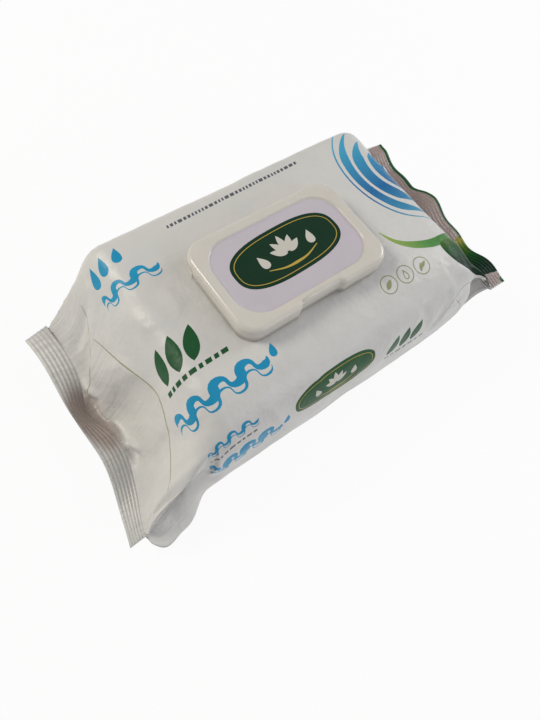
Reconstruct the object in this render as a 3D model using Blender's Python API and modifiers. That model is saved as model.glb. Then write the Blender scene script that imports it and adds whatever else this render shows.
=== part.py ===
"""Wet wipes pack: a film flow-wrap bag with gusseted, crimp-sealed ends, the stack of folded wipes inside it,
and a moulded frame with a flip lid over the dispensing opening.

Metres, +Z up. X runs along the pack, Y across it (-Y is the front, where the lid's finger notch is), and the
origin is under the middle of the bag, on the surface it stands on.
"""
import math

import bmesh
import bpy
from mathutils import Vector

MM = 0.001

# Stack of wipes
STACK_LENGTH = 152 * MM
STACK_WIDTH = 105.6 * MM
STACK_HEIGHT = 68.1 * MM
STACK_EDGE = 3.5 * MM  # rounding of its two end faces
STACK_SHIFT = 4 * MM  # the stack sits a little to the right in its bag
CLEAR = 0.3 * MM  # gap between pieces that touch

# Film bag
FILM = 0.8 * MM
CORNER_CUT = 7.5 * MM  # how far the long edges are rounded off
BACK_LEAN = 3.5 * MM  # the stack has slid back a little towards its top
FRONT_ROLL = 29 * MM  # the top film rolls over the front edge from this far behind it
FRONT_DROP = 27 * MM  # down to this far below the top
BULGE = 2.8 * MM  # outward swell of the long sides
DOME = 2.4 * MM  # fall of the top film from the lid to the long edges
END_RUN = 45 * MM  # from the end of the stack to the outer edge of the seal
SEAL_WIDTH = 12.5 * MM
SEAL_THICK = 1.1 * MM
SEAL_OVERHANG = 2.2 * MM  # how far the seal is wider than the body, each side
RIBS = 6
RIB_HEIGHT = 0.45 * MM
SHOULDER = 7.5 * MM  # half length of the rounding where the film leaves the stack
FIN_WIDTH = 13 * MM
FIN_GROOVE = 0.4 * MM

# Dispensing opening and moulded frame
OPENING_LENGTH = 60 * MM
OPENING_WIDTH = 30 * MM
WALL = 1.2 * MM
FLANGE_THICK = 1.2 * MM
LEDGE = 3.6 * MM  # from the opening to the inside of the collar
COLLAR_HEIGHT = 3.4 * MM
HINGE_HEIGHT = 4.8 * MM  # axis of the hinge above the film
LAND_LENGTH = 11 * MM  # how far the hinge land wraps along the short sides

# Flip lid
LID_LENGTH = 82 * MM
LID_WIDTH = 52.5 * MM
LID_HEIGHT = 9.6 * MM  # above the film
LID_CORNER = 9.5 * MM
LID_SHIFT = Vector((-2.5 * MM, 1.5 * MM))  # middle of the lid on the pack
RIM_ROUND = 2.2 * MM
BORDER_WIDTH = 4.8 * MM
PANEL_SINK = 1.1 * MM
PANEL_CORNER = 15 * MM
NOTCH_LENGTH = 27 * MM
NOTCH_DEPTH = 1.8 * MM
PLUG_DEPTH = 2.6 * MM  # how far the lid's inner ring reaches below the top of the collar

PACK_HALF = STACK_LENGTH / 2 + END_RUN
BODY_HALF = STACK_WIDTH / 2 + CLEAR + FILM
SEAL_HALF = BODY_HALF + SEAL_OVERHANG
FILM_TOP = STACK_HEIGHT + 2 * (CLEAR + FILM)
HINGE_Y = LID_SHIFT.y + LID_WIDTH / 2
HINGE_Z = FILM_TOP + HINGE_HEIGHT

# How each end of the bag has settled. Pairs are (back, front). Reach is how far the seal's outer edge falls short
# of the full length at its two corners and rise its height there. Between them the seal is drawn in by bow,
# lifted by lift and curled up by curl, and the top film dips by dip behind it, over
# dip_width of the seal's half length. Tuck is the share of the full side
# tuck that the film has taken, over tuck_run of the way, and flare is how far the bottom edge swings out.
ENDS = {
    -1: dict(reach=(6 * MM, 0.0), rise=(18 * MM, 12.5 * MM), bow=7 * MM, lift=5 * MM, curl=math.radians(46),
             droop=math.radians(14), dip=13 * MM, dip_centre=-0.08, dip_width=0.36,
             tuck=(0.7, 0.5), tuck_run=(0.5, 0.9), flare=(4 * MM, 9 * MM)),
    1: dict(reach=(1 * MM, 0.0), rise=(37 * MM, 32 * MM), bow=4.5 * MM, lift=1.5 * MM, curl=math.radians(16),
            droop=math.radians(8), dip=6 * MM, dip_centre=0.25, dip_width=0.42,
            tuck=(0.75, 0.85), tuck_run=(0.4, 0.4), flare=(9 * MM, -2 * MM)),
}
# Broad folds in the top film: start and end on the plan, height and half width. Valleys are negative.
FOLDS = [
    ((-104 * MM, -22 * MM), (-74 * MM, -44 * MM), -3.4 * MM, 5 * MM),
    ((-92 * MM, 30 * MM), (-60 * MM, 6 * MM), 1.8 * MM, 6 * MM),
    ((-98 * MM, 6 * MM), (-72 * MM, -14 * MM), -2.2 * MM, 7 * MM),
    ((108 * MM, 12 * MM), (84 * MM, -6 * MM), -2.6 * MM, 5 * MM),
    ((106 * MM, -34 * MM), (82 * MM, -46 * MM), -3.0 * MM, 5 * MM),
    ((104 * MM, 40 * MM), (80 * MM, 26 * MM), 2.0 * MM, 5 * MM),
]


def material(name, colour, roughness, subsurface=0.0):
    mat = bpy.data.materials.new(name)
    mat.use_nodes = True
    bsdf = mat.node_tree.nodes["Principled BSDF"]
    bsdf.inputs["Base Color"].default_value = (*colour, 1.0)
    bsdf.inputs["Roughness"].default_value = roughness
    bsdf.inputs["Metallic"].default_value = 0.0
    bsdf.inputs["Subsurface Weight"].default_value = subsurface
    return mat


def collection(name):
    col = bpy.data.collections.new(name)
    bpy.context.scene.collection.children.link(col)
    return col


def add_object(name, bm, col, mat=None):
    mesh = bpy.data.meshes.new(name)
    bmesh.ops.recalc_face_normals(bm, faces=bm.faces)
    bm.to_mesh(mesh)
    bm.free()
    obj = bpy.data.objects.new(name, mesh)
    col.objects.link(obj)
    if mat:
        mesh.materials.append(mat)
        mesh.shade_smooth()
        mesh.set_sharp_from_angle(angle=math.radians(35))
    return obj


def add_cutter(name, bm):
    obj = add_object(name, bm, cutters)
    obj.hide_render = True
    obj.display_type = "WIRE"
    return obj


def boolean(target, tool, operation):
    mod = target.modifiers.new(tool.name, "BOOLEAN")
    mod.operation = operation
    mod.solver = "EXACT"
    mod.object = tool


def mix(a, b, f):
    return a + (b - a) * f


def smoothstep(f):
    f = min(1.0, max(0.0, f))
    return f * f * (3 - 2 * f)


def soft_ramp(q, reach):
    """Zero before -reach, q after it, with a parabola between."""
    if q <= -reach:
        return 0.0
    return q if q >= reach else (q + reach) ** 2 / (4 * reach)


# Film bag

def seal_line(side, y):
    """Where the inner edge of an end's seal is at y, and the direction in which the seal strip leaves it."""
    end = ENDS[side]
    v = max(-1.0, min(1.0, y / SEAL_HALF))
    back = (v + 1) / 2
    middle = 1 - v * v
    reach = PACK_HALF - mix(end["reach"][1], end["reach"][0], back) - end["bow"] * middle
    angle = end["curl"] * middle ** 2 - end["droop"] * (1 - middle)
    angle *= 1 + 0.35 * math.sin(2.3 * math.pi * v)
    outer_z = mix(end["rise"][1], end["rise"][0], back) + end["lift"] * middle
    run, climb = SEAL_WIDTH * math.cos(angle), SEAL_WIDTH * math.sin(angle)
    return side * (reach - run), outer_z - climb, side * math.cos(angle), math.sin(angle)


def fold_height(x, y):
    """Sum of the folds at a point of the top film."""
    total = 0.0
    for (x0, y0), (x1, y1), height, width in FOLDS:
        dx, dy = x1 - x0, y1 - y0
        f = ((x - x0) * dx + (y - y0) * dy) / (dx * dx + dy * dy)
        if 0 < f < 1:
            away = math.hypot(x - x0 - f * dx, y - y0 - f * dy) / width
            total += height * math.sin(math.pi * f) * math.exp(-away * away)
    return total


def top_height(x, y):
    """The top film over the stack: flat under the lid, falling gently to the edges."""
    over_x = (abs(x - LID_SHIFT.x) - LID_LENGTH / 2) / (STACK_LENGTH / 2 - LID_LENGTH / 2)
    over_y = (abs(y - LID_SHIFT.y) - LID_WIDTH / 2) / (BODY_HALF - LID_WIDTH / 2)
    return FILM_TOP - DOME * smoothstep(math.hypot(max(0, over_x), max(0, over_y)) * 0.8)


def end_side(side, f, front, inset):
    """Half widths of the tube's top edge, side fold and bottom edge at share f from the stack to the seal."""
    end = ENDS[side]
    height = mix(FILM_TOP, SEAL_THICK, f)
    full_tuck = FILM_TOP / 2 * math.sqrt(max(0.0, 1 - (height / FILM_TOP) ** 2))
    top = mix(BODY_HALF, SEAL_HALF, smoothstep(f)) - inset
    bottom = top + end["flare"][front] * math.sin(math.pi * f ** 2.8)
    tuck = full_tuck * end["tuck"][front] * smoothstep(f / end["tuck_run"][front])
    fold = mix(top, bottom, 0.5) + BULGE * (1 - smoothstep(f / 0.35)) - tuck
    return top, fold, bottom, tuck


def body_loop(side, f, inset=0.0):
    """Cross-section of the tube as (y, share of height) points, from the middle of the front tuck over the top."""
    height = mix(FILM_TOP, SEAL_THICK, f)
    top_f, fold_f, bottom_f, tuck_f = end_side(side, f, 1, inset)
    top_b, fold_b, bottom_b, tuck_b = end_side(side, f, 0, inset)
    sharpness = smoothstep(f * 1.3)
    corner = mix(CORNER_CUT - inset, 2.5 * MM, sharpness)
    bend = mix(20 * MM, 2 * MM, smoothstep(f * 3))
    crisp = smoothstep(f * 2)
    roll = mix(FRONT_ROLL - inset, 2.5 * MM, crisp)
    drop = min(mix(FRONT_DROP - inset, 2.5 * MM, crisp), 0.76 * (height / 2 + tuck_f))
    lean = BACK_LEAN * (1 - smoothstep(f * 1.3))
    arm_f, arm_b = 0.4 * (height / 2 + tuck_f), 0.4 * (height / 2 + tuck_b)
    points = [Vector((-fold_f, height / 2)), Vector((-top_f, height)), Vector((top_b + lean, height)),
              Vector((fold_b, height / 2)), Vector((bottom_b, 0)), Vector((-bottom_f, 0))]
    corner_b, corner_f, bend_b = min(corner, arm_b), min(corner, arm_f), min(bend, arm_b)
    cuts = [(min(bend, arm_f), min(bend, 0.45 * arm_f)), (drop, roll), (corner_b, corner_b),
            (bend_b, bend_b), (corner_b, corner_b), (corner_f, corner_f)]
    return rounded(points, cuts, height)


def rounded(points, cuts, height):
    """Closed loop with each corner rounded off by a quadratic curve, and the sides between them divided. A cut is
    how far the curve reaches towards the corner before and the corner after."""
    loop = []
    count = len(points)
    for i, (point, cut) in enumerate(zip(points, cuts)):
        before, after = points[i - 1], points[(i + 1) % count]
        a = point + (before - point).normalized() * cut[0]
        b = point + (after - point).normalized() * cut[1]
        for k in range(CORNER_STEPS[i] + 1):
            f = k / CORNER_STEPS[i]
            loop.append(a * (1 - f) ** 2 + point * 2 * f * (1 - f) + b * f ** 2)
        start, end = b, after + (point - after).normalized() * cuts[(i + 1) % count][0]
        loop += [start.lerp(end, k / SIDE_DIVISIONS[i]) for k in range(1, SIDE_DIVISIONS[i])]
    turn = CORNER_STEPS[0] // 2
    loop = loop[turn:] + loop[:turn]
    return [(p.x, p.y / height) for p in loop]


def body_point(x, y, share, inset=0.0):
    """Point of the bag between the stack's end and the seal. x is the flat film's own length coordinate."""
    side = -1 if x < STACK_SHIFT else 1
    start = STACK_LENGTH / 2 + side * STACK_SHIFT
    inner_x, inner_z = seal_line(side, y)[:2]
    run = PACK_HALF - SEAL_WIDTH - start
    f = max(0.0, (abs(x) - start) / run)
    slope_end = abs(inner_x) - start
    x = side * mix(start, abs(inner_x), f) if f > 0 else x
    gone = soft_ramp(abs(x) - start - 2 * MM, SHOULDER) / soft_ramp(slope_end - 2 * MM, SHOULDER)
    top = mix(top_height(x, y) - inset, inner_z + SEAL_THICK / 2, gone)
    bottom = mix(inset, inner_z - SEAL_THICK / 2, gone ** 1.25)
    if f > 0:
        away = y / SEAL_HALF - ENDS[side]["dip_centre"]
        top -= ENDS[side]["dip"] * math.sin(math.pi * f ** 2.4) * math.exp(-(away / ENDS[side]["dip_width"]) ** 2)
    top += fold_height(x, y) * (1 if f < 0.8 else (1 - f) / 0.2) if inset == 0 else 0.0
    return Vector((x, y, mix(bottom, max(top, bottom + SEAL_THICK / 2), share)))


def seal_point(side, u, y, share, rib):
    """Point of the seal strip at share u of its width."""
    inner_x, inner_z, run, climb = seal_line(side, y)
    z = inner_z + climb * u * SEAL_WIDTH + (share - 0.5) * SEAL_THICK + rib
    return Vector((inner_x + run * u * SEAL_WIDTH, y, z))


def bridge(bm, rings):
    """Skin a list of equal rings and close both ends by joining each upper point to the one below it."""
    rows = [[bm.verts.new(p) for p in ring] for ring in rings]
    count = len(rows[0])
    for row, following in zip(rows, rows[1:]):
        for k in range(count):
            j = (k + 1) % count
            bm.faces.new((row[k], row[j], following[j], following[k]))
    for row in (rows[0], rows[-1]):
        bm.faces.new((row[0], row[1], row[-1]))
        for k in range(1, count // 2 - 1):
            bm.faces.new((row[k], row[k + 1], row[count - k - 1], row[count - k]))
        half = count // 2
        bm.faces.new((row[half - 1], row[half], row[half + 1]))


def film_rings(side):
    """Rings of one end from the stack outwards: the gusseted run, then the ribbed seal strip."""
    start = STACK_LENGTH / 2 + side * STACK_SHIFT
    run = PACK_HALF - SEAL_WIDTH - start
    rings = []
    for f in RUN_STATIONS:
        x = side * (start + f * run)
        rings.append([body_point(x, y, share) for y, share in body_loop(side, f)])
    edge = seal_loop()
    for k in range(2 * RIBS + 1):
        rib = 0.0 if k in (0, 2 * RIBS) else RIB_HEIGHT * (0.5 if k % 2 else -0.5)
        rings.append([seal_point(side, k / (2 * RIBS), y, share, rib) for y, share in edge])
    return rings


def seal_loop():
    """Flat cross-section of the seal strip, with the same number of points as the tube."""
    height = SEAL_THICK
    cut = 0.35 * height / 2
    tip = SEAL_HALF + height / 4
    points = [Vector((-tip, height / 2)), Vector((-SEAL_HALF, height)), Vector((SEAL_HALF, height)),
              Vector((tip, height / 2)), Vector((SEAL_HALF, 0)), Vector((-SEAL_HALF, 0))]
    return rounded(points, [(cut, cut)] * 6, height)


def body_stations():
    """Where the tube is sectioned along the stack: closer together where the film starts to fall at its ends."""
    near = [0.0, STACK_EDGE / 3, STACK_EDGE, 2 * STACK_EDGE, 2 * SHOULDER - STACK_EDGE]
    left, right = -STACK_LENGTH / 2 + STACK_SHIFT, STACK_LENGTH / 2 + STACK_SHIFT
    between = [mix(left + near[-1], right - near[-1], k / 8) for k in range(1, 8)]
    return [left + d for d in near] + between + [right - d for d in near[::-1]]


def film_pouch():
    stations = body_stations()
    middle = [[body_point(x, y, share) for y, share in body_loop(1, 0.0)] for x in stations[1:-1]]
    bm = bmesh.new()
    bridge(bm, film_rings(-1)[::-1] + middle + film_rings(1))
    pouch = add_object("film_pouch", bm, parts, film_material)

    stations = [stations[0] - CLEAR, *stations[1:-1], stations[-1] + CLEAR]
    bm = bmesh.new()
    bridge(bm, [[body_point(x, y, share, FILM) for y, share in body_loop(1, 0.0, FILM)] for x in stations])
    boolean(pouch, add_cutter("cut_cavity", bm), "DIFFERENCE")

    for y in (0.0, -FIN_WIDTH):
        bm = bmesh.new()
        bmesh.ops.create_cube(bm, size=1.0)
        bmesh.ops.scale(bm, vec=(STACK_LENGTH - 4 * SHOULDER, FIN_GROOVE, 2 * FIN_GROOVE), verts=bm.verts)
        bmesh.ops.translate(bm, vec=(STACK_SHIFT, y, 0), verts=bm.verts)
        boolean(pouch, add_cutter("cut_fin_groove", bm), "DIFFERENCE")

    bm = bmesh.new()
    extrude_outline(bm, stadium(OPENING_LENGTH, OPENING_WIDTH), FILM_TOP - 4 * FILM, FILM_TOP + 4 * FILM)
    boolean(pouch, add_cutter("cut_film_opening", bm), "DIFFERENCE")
    return pouch


def wipes_stack():
    """The pressed stack, which has taken the inner form of the film."""
    left, right = -STACK_LENGTH / 2 + STACK_SHIFT, STACK_LENGTH / 2 + STACK_SHIFT
    gap = FILM + CLEAR
    rings = [(left, gap + STACK_EDGE)] + [(x, gap) for x in body_stations()[2:-2]] + [(right, gap + STACK_EDGE)]
    rings.insert(1, (left + 0.3 * STACK_EDGE, gap + 0.3 * STACK_EDGE))
    rings.insert(-1, (right - 0.3 * STACK_EDGE, gap + 0.3 * STACK_EDGE))
    bm = bmesh.new()
    bridge(bm, [[body_point(x, y, share, inset) for y, share in body_loop(1, 0.0, inset)] for x, inset in rings])
    return add_object("wipes_stack", bm, parts, wipes_material)


# Frame and lid outlines

def rounded_rectangle(length, width, corner, notch=0.0):
    """Anticlockwise outline from the front left corner, with a shallow notch in the middle of the front side."""
    loop = []
    for sx, sy, turn in ((-1, -1, 180), (1, -1, 270), (1, 1, 0), (-1, 1, 90)):
        centre = Vector((sx * (length / 2 - corner), sy * (width / 2 - corner)))
        for k in range(OUTLINE_STEPS + 1):
            angle = math.radians(turn + 90 * k / OUTLINE_STEPS)
            loop.append(centre + corner * Vector((math.cos(angle), math.sin(angle))))
        if (sx, sy) == (-1, -1):
            reach = min(NOTCH_LENGTH, 1.5 * (length / 2 - corner))
            for share in (-0.62, -0.5, -0.44, -0.38, -0.2, 0, 0.2, 0.38, 0.44, 0.5, 0.62):
                depth = notch * smoothstep((0.5 - abs(share)) / 0.12)
                loop.append(Vector((share * reach, -width / 2 + depth)))
    return [p + LID_SHIFT for p in loop]


def stadium(length, width):
    return rounded_rectangle(length, width, width / 2 - 0.05 * MM)


def extrude_outline(bm, outline, z0, z1):
    """Closed prism on an outline."""
    low = [bm.verts.new((p.x, p.y, z0)) for p in outline]
    high = [bm.verts.new((p.x, p.y, z1)) for p in outline]
    bm.faces.new(low[::-1])
    bm.faces.new(high)
    for k in range(len(outline)):
        j = (k + 1) % len(outline)
        bm.faces.new((low[k], low[j], high[j], high[k]))


def ring_wall(bm, outer, inner, z0, z1):
    """Closed wall between two outlines that have the same number of points."""
    rows = [[bm.verts.new((p.x, p.y, z)) for p in outline] for outline, z in
            ((outer, z0), (outer, z1), (inner, z1), (inner, z0))]
    for i, row in enumerate(rows):
        following = rows[(i + 1) % 4]
        for k in range(len(row)):
            j = (k + 1) % len(row)
            bm.faces.new((row[k], row[j], following[j], following[k]))


def lid_outline(inset, corner=None, notch=NOTCH_DEPTH):
    corner = max(LID_CORNER - inset, 1 * MM) if corner is None else corner
    return rounded_rectangle(LID_LENGTH - 2 * inset, LID_WIDTH - 2 * inset, corner, notch)


def lid_frame():
    """Base plate glued to the film, with the collar round the opening and the land that carries the hinge."""
    base = FILM_TOP + CLEAR
    top = base + FLANGE_THICK
    collar_in = (OPENING_LENGTH + 2 * LEDGE, OPENING_WIDTH + 2 * LEDGE)
    plate_inset = WALL + 2 * CLEAR
    bm = bmesh.new()
    ring_wall(bm, lid_outline(plate_inset), stadium(OPENING_LENGTH, OPENING_WIDTH), base, top)
    frame = add_object("lid_frame", bm, parts, plastic_material)

    bm = bmesh.new()
    ring_wall(bm, stadium(collar_in[0] + 2 * WALL, collar_in[1] + 2 * WALL), stadium(*collar_in),
              base + FLANGE_THICK / 2, top + COLLAR_HEIGHT)
    boolean(frame, add_cutter("add_collar", bm), "UNION")

    # The land follows the lid's own outline round the two back corners.
    bm = bmesh.new()
    ring_wall(bm, lid_outline(0), lid_outline(plate_inset + WALL / 2), base, HINGE_Z - CLEAR / 2)
    land = add_cutter("add_hinge_land", bm)
    bm = bmesh.new()
    bmesh.ops.create_cube(bm, size=1.0)
    reach = LAND_LENGTH - CLEAR
    bmesh.ops.scale(bm, vec=(LID_LENGTH * 1.2, reach * 2, LID_HEIGHT * 3), verts=bm.verts)
    bmesh.ops.translate(bm, vec=(LID_SHIFT.x, HINGE_Y, FILM_TOP), verts=bm.verts)
    boolean(land, add_cutter("keep_land_back", bm), "INTERSECT")
    boolean(frame, land, "UNION")
    return frame


def flip_lid(hinge):
    """Shell of even wall, with a rim, a border that slopes in to the sunk panel, and the plug ring inside."""
    top = FILM_TOP + LID_HEIGHT
    skirt = FILM_TOP + 2 * CLEAR
    panel = top - PANEL_SINK
    rings = [(lid_outline(0), skirt), (lid_outline(0), top - RIM_ROUND)]
    for k in range(1, 4):
        angle = math.radians(30 * k)
        rings.append((lid_outline(RIM_ROUND * (1 - math.cos(angle))), top - RIM_ROUND * (1 - math.sin(angle))))
    rings.append((lid_outline(RIM_ROUND + 0.8 * MM), top - 0.06 * MM))
    inner = RIM_ROUND + BORDER_WIDTH
    rings.append((lid_outline(inner - 0.8 * MM, PANEL_CORNER, NOTCH_DEPTH * 0.3), panel + 0.1 * MM))
    rings.append((lid_outline(inner + 0.5 * MM, PANEL_CORNER - 1.3 * MM, 0.0), panel))
    bm = bmesh.new()
    rows = [[bm.verts.new((p.x, p.y - HINGE_Y, z - HINGE_Z)) for p in outline] for outline, z in rings]
    for row, following in zip(rows, rows[1:]):
        for k in range(len(row)):
            j = (k + 1) % len(row)
            bm.faces.new((row[k], row[j], following[j], following[k]))
    bm.faces.new(rows[-1])
    lid = add_object("flip_lid", bm, parts, plastic_material)
    lid.parent = hinge
    shell = lid.modifiers.new("wall", "SOLIDIFY")
    shell.thickness = WALL
    shell.offset = -1.0
    shell.use_even_offset = True

    ring_out = (OPENING_LENGTH + 2 * (LEDGE - 1.3 * CLEAR), OPENING_WIDTH + 2 * (LEDGE - 1.3 * CLEAR))
    collar_top = FILM_TOP + CLEAR + FLANGE_THICK + COLLAR_HEIGHT
    bm = bmesh.new()
    ring_wall(bm, stadium(*ring_out), stadium(ring_out[0] - 2 * WALL, ring_out[1] - 2 * WALL),
              collar_top - PLUG_DEPTH, panel - WALL / 2)
    boolean(lid, add_cutter("add_plug_ring", bm), "UNION")

    # Behind this line the skirt stops at the hinge and the frame's land takes its place.
    bm = bmesh.new()
    bmesh.ops.create_cube(bm, size=1.0)
    bmesh.ops.scale(bm, vec=(LID_LENGTH * 1.2, 2 * LAND_LENGTH, LID_HEIGHT * 2), verts=bm.verts)
    bmesh.ops.translate(bm, vec=(LID_SHIFT.x, HINGE_Y, HINGE_Z + CLEAR / 2 - LID_HEIGHT), verts=bm.verts)
    back = add_cutter("cut_back_skirt", bm)
    bm = bmesh.new()
    extrude_outline(bm, lid_outline(2.2 * WALL), FILM_TOP - LID_HEIGHT, top)
    boolean(back, add_cutter("keep_inside", bm), "DIFFERENCE")
    boolean(lid, back, "DIFFERENCE")
    return lid


# Faces in each corner of the tube's section, and in each side between them, from the front fold over the top
CORNER_STEPS = [4, 8, 4, 4, 4, 8]
SIDE_DIVISIONS = [2, 9, 2, 2, 9, 2]
OUTLINE_STEPS = 6
RUN_STATIONS = (0.0, 0.08, 0.17, 0.27, 0.38, 0.5, 0.62, 0.74, 0.85, 0.93, 0.975)

for old in list(bpy.data.objects):
    bpy.data.objects.remove(old, do_unlink=True)
parts = collection("wet_wipes_pack")
cutters = collection("cutters")

film_material = material("printed_film", (0.80, 0.79, 0.78), 0.38)
plastic_material = material("white_polypropylene", (0.82, 0.80, 0.82), 0.42, 0.1)
wipes_material = material("moist_nonwoven", (0.86, 0.87, 0.88), 0.75)

film_pouch()
wipes_stack()
lid_frame()
hinge = bpy.data.objects.new("lid_hinge", None)
hinge.location = (0, HINGE_Y, HINGE_Z)
parts.objects.link(hinge)
flip_lid(hinge)
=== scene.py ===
"""Looks of the wet wipes pack: the creased and printed film bag, the moulded flip lid and the wipes under it.

Metres, +Z up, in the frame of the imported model. Sizes of the print are millimetres of flat film: u runs
along the pack, v round it, with v = 0 along the middle of the top and the front face at v = -58 to -120.
"""
import math
import random

import bmesh
import bpy
import numpy as np
from mathutils import Matrix, Vector, noise
from mathutils.geometry import delaunay_2d_cdt


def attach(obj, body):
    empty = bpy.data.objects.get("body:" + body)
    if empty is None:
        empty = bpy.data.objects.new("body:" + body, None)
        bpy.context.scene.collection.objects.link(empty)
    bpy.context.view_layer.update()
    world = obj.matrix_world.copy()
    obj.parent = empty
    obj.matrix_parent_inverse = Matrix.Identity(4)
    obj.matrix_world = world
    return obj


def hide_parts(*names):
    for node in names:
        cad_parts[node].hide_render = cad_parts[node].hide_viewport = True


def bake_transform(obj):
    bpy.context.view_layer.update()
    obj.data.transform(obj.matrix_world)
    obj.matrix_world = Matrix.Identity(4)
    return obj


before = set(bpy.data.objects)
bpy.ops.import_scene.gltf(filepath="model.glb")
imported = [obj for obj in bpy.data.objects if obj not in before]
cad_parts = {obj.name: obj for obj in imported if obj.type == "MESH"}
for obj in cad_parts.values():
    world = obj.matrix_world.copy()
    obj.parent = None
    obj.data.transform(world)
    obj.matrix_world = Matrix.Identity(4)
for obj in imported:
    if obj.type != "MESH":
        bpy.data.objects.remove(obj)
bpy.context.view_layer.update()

MM = 0.001

# The same form as the source part, but for the lid's border, which is 3.7 mm wide here and 4.8 mm there
STACK_LENGTH, STACK_WIDTH, STACK_HEIGHT, STACK_SHIFT = 0.152, 0.1056, 0.0681, 0.004
CLEAR, FILM, WALL = 0.0003, 0.0008, 0.0012
CORNER_CUT, FRONT_ROLL, FRONT_DROP, BACK_LEAN = 0.0075, 0.029, 0.027, 0.0035
BULGE, DOME, END_RUN = 0.0028, 0.0024, 0.045
SEAL_WIDTH, SEAL_THICK, SEAL_OVERHANG, RIBS, RIB_HEIGHT, SHOULDER = 0.0125, 0.0011, 0.0022, 6, 0.00045, 0.0075
OPENING_LENGTH, OPENING_WIDTH, FLANGE_THICK, LEDGE, COLLAR_HEIGHT = 0.060, 0.030, 0.0012, 0.0036, 0.0034
LID_LENGTH, LID_WIDTH, LID_HEIGHT, LID_CORNER = 0.082, 0.0525, 0.0096, 0.0095
LID_X, LID_Y = -0.0025, 0.0015
RIM_ROUND, BORDER_WIDTH, PANEL_SINK, PANEL_CORNER = 0.0022, 0.0037, 0.0011, 0.0135
NOTCH_LENGTH, NOTCH_DEPTH, PLUG_DEPTH, HINGE_HEIGHT, LAND_LENGTH = 0.027, 0.0018, 0.0026, 0.0048, 0.011
PACK_HALF = STACK_LENGTH / 2 + END_RUN
SEAL_START = PACK_HALF - SEAL_WIDTH
STACK_LEFT, STACK_RIGHT = STACK_SHIFT - STACK_LENGTH / 2, STACK_SHIFT + STACK_LENGTH / 2
BODY_HALF = STACK_WIDTH / 2 + CLEAR + FILM
SEAL_HALF = BODY_HALF + SEAL_OVERHANG
FILM_TOP = STACK_HEIGHT + 2 * (CLEAR + FILM)
HINGE_Y, HINGE_Z = LID_Y + LID_WIDTH / 2, FILM_TOP + HINGE_HEIGHT

# Flat distances from the middle of the top to the edge of the top, the edge of the underside and its middle
TOP_EDGE, UNDER_EDGE, GIRTH_HALF = 0.056, 0.126, 0.180

# How each end closes. Pairs are values at the back and at the front.
ENDS = {
    -1: dict(reach=(6 * MM, 0.0), rise=(18 * MM, 12.5 * MM), bow=7 * MM, lift=5 * MM, curl=math.radians(46),
             droop=math.radians(14), dip=13 * MM, dip_centre=-0.08, dip_width=0.36,
             tuck=(0.7, 0.5), tuck_run=(0.5, 0.9), flare=(4 * MM, 9 * MM)),
    1: dict(reach=(1 * MM, 0.0), rise=(37 * MM, 32 * MM), bow=4.5 * MM, lift=1.5 * MM, curl=math.radians(16),
            droop=math.radians(8), dip=6 * MM, dip_centre=0.25, dip_width=0.42,
            tuck=(0.75, 0.85), tuck_run=(0.4, 0.4), flare=(9 * MM, -2 * MM)),
}
# Broad folds of the top, in mm: from (x, y), to (x, y), height and width
FOLDS = [
    ((-104, -22), (-74, -44), -3.4, 5),
    ((-92, 30), (-60, 6), 1.8, 6),
    ((-98, 6), (-72, -14), -2.2, 7),
    ((108, 12), (84, -6), -2.6, 5),
    ((106, -34), (82, -46), -3.0, 5),
    ((104, 40), (80, 26), 2.0, 5),
]
# Steps along the six sides of a section, and round its six corners
DIVISIONS = [6, 40, 8, 8, 40, 8]
CORNER_STEPS = [8, 24, 8, 8, 8, 8]


def mix(a, b, f):
    return a + (b - a) * f


def smooth(f):
    f = np.clip(f, 0.0, 1.0)
    return f * f * (3 - 2 * f)


def bell(away, width):
    return np.exp(-(away / width) ** 2)


# Form of the film, section by section

def seal_line(side, y):
    """Where the crimped strip starts across the pack, as x and z, and its direction along x and z."""
    end = ENDS[side]
    v = np.clip(y / SEAL_HALF, -1, 1)
    back, middle = (v + 1) / 2, 1 - v * v
    reach = PACK_HALF - mix(end["reach"][1], end["reach"][0], back) - end["bow"] * middle
    angle = (end["curl"] * middle ** 2 - end["droop"] * (1 - middle)) * (1 + 0.35 * np.sin(2.3 * math.pi * v))
    outer_z = mix(end["rise"][1], end["rise"][0], back) + end["lift"] * middle
    run, climb = SEAL_WIDTH * np.cos(angle), SEAL_WIDTH * np.sin(angle)
    return side * (reach - run), outer_z - climb, side * np.cos(angle), np.sin(angle)


def fold_height(x, y):
    total = np.zeros_like(y)
    for start, end, height, width in FOLDS:
        (x0, y0), (x1, y1) = np.array(start) * MM, np.array(end) * MM
        dx, dy = x1 - x0, y1 - y0
        f = np.clip(((x - x0) * dx + (y - y0) * dy) / (dx * dx + dy * dy), 0, 1)
        away = np.hypot(x - x0 - f * dx, y - y0 - f * dy)
        total += height * MM * np.sin(math.pi * f) * bell(away, width * MM)
    return total


def top_height(x, y):
    over_x = (np.abs(x - LID_X) - LID_LENGTH / 2) / (STACK_LENGTH / 2 - LID_LENGTH / 2)
    over_y = (np.abs(y - LID_Y) - LID_WIDTH / 2) / (BODY_HALF - LID_WIDTH / 2)
    return FILM_TOP - DOME * smooth(np.hypot(np.maximum(0, over_x), np.maximum(0, over_y)) * 0.8)


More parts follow.
